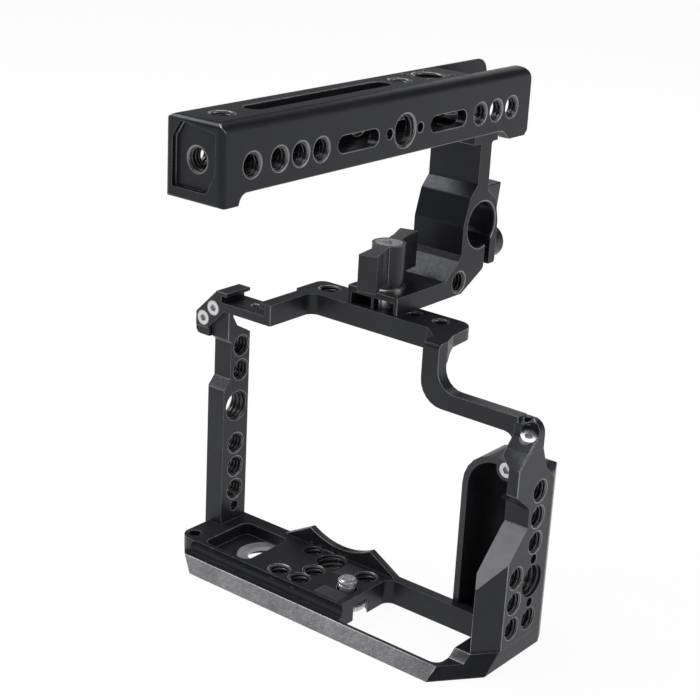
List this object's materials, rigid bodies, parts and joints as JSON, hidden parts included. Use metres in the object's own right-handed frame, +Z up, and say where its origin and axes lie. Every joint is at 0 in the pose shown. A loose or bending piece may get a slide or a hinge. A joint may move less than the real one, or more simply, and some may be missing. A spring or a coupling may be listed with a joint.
{
  "type": "camera cage",
  "caption": "Black metal cage for a compact camera: base with screw, columns, top bar with cold shoe, grip shell, and a top handle on a rod clamp post.",
  "frame": {"origin": "middle of the box round the whole part, on the plane that the base stands on", "axes": "+X to the right as seen from behind the camera, +Y towards the lens, +Z up"},
  "size_m": [0.126, 0.146, 0.1615],
  "materials": {
    "black_frame": "satin black anodised aluminium",
    "dark_shell": "matt black coating",
    "black_handle": "satin black anodised aluminium",
    "black_knob": "satin black anodised aluminium",
    "steel_screws": "bright stainless steel",
    "camera_screw": "bright turned stainless steel",
    "steel_washer": "bright stainless steel",
    "black_washer": "matt black",
    "ring_metal": "turned grey metal",
    "rubber": "matt, fine cross hatched texture"
  },
  "bodies": {
    "cage": {"base_frame": "black_frame", "top_bar": "black_frame", "right_side_plate": "black_frame", "grip_shell": "dark_shell", "left_corner_screws": "steel_screws", "right_corner_screw": "steel_screws", "grip_shell_screw": "steel_screws", "grip_shell_base_screw": "steel_screws", "side_plate_screws": "steel_screws", "side_plate_dowels": "steel_screws", "window_ring": "ring_metal", "rubber_pads": "rubber", "handle_bar": "black_handle", "handle_post": "black_handle", "handle_screws": "steel_screws"},
    "camera_screw_washer": {"camera_screw_washer": "black_washer"},
    "camera_screw": {"camera_screw": "camera_screw"},
    "foot_knob_washer": {"foot_knob_washer": "steel_washer"},
    "foot_knob": {"foot_knob": "black_knob", "foot_knob_screw": "steel_screws"},
    "rod_clamp_washer": {"rod_clamp_washer": "steel_washer"},
    "rod_clamp_knob": {"rod_clamp_knob": "black_knob", "rod_clamp_screw": "steel_screws"}
  },
  "joints": [
    {"name": "camera_screw_drop", "type": "slide", "parent": "cage", "child": "camera_screw_washer", "axis": [0, 0, 1], "range_m": [-0.002, 0]},
    {"name": "camera_screw_turn", "type": "hinge", "parent": "camera_screw_washer", "child": "camera_screw", "pos_m": [0.0085, -0.017, 0.008], "axis": [0, 0, 1], "continuous": true},
    {"name": "foot_knob_rise", "type": "slide", "parent": "cage", "child": "foot_knob_washer", "axis": [0, 0, 1], "range_m": [0, 0.00385]},
    {"name": "foot_knob_turn", "type": "hinge", "parent": "foot_knob_washer", "child": "foot_knob", "pos_m": [-0.0074, 0.0154, 0.1], "axis": [0, 0, 1], "range_deg": [0, 1080]},
    {"name": "rod_clamp_travel", "type": "slide", "parent": "cage", "child": "rod_clamp_washer", "axis": [0, 1, 0], "range_m": [0, 0.00145]},
    {"name": "rod_clamp_turn", "type": "hinge", "parent": "rod_clamp_washer", "child": "rod_clamp_knob", "pos_m": [-0.0074, 0.0618, 0.1007], "axis": [0, 1, 0], "range_deg": [0, 720]}
  ],
  "couplings": [
    {"joint": "foot_knob_rise", "follows": "foot_knob_turn", "m_per_rad": 0.00020213},
    {"joint": "rod_clamp_travel", "follows": "rod_clamp_turn", "m_per_rad": 0.00011141}
  ]
}
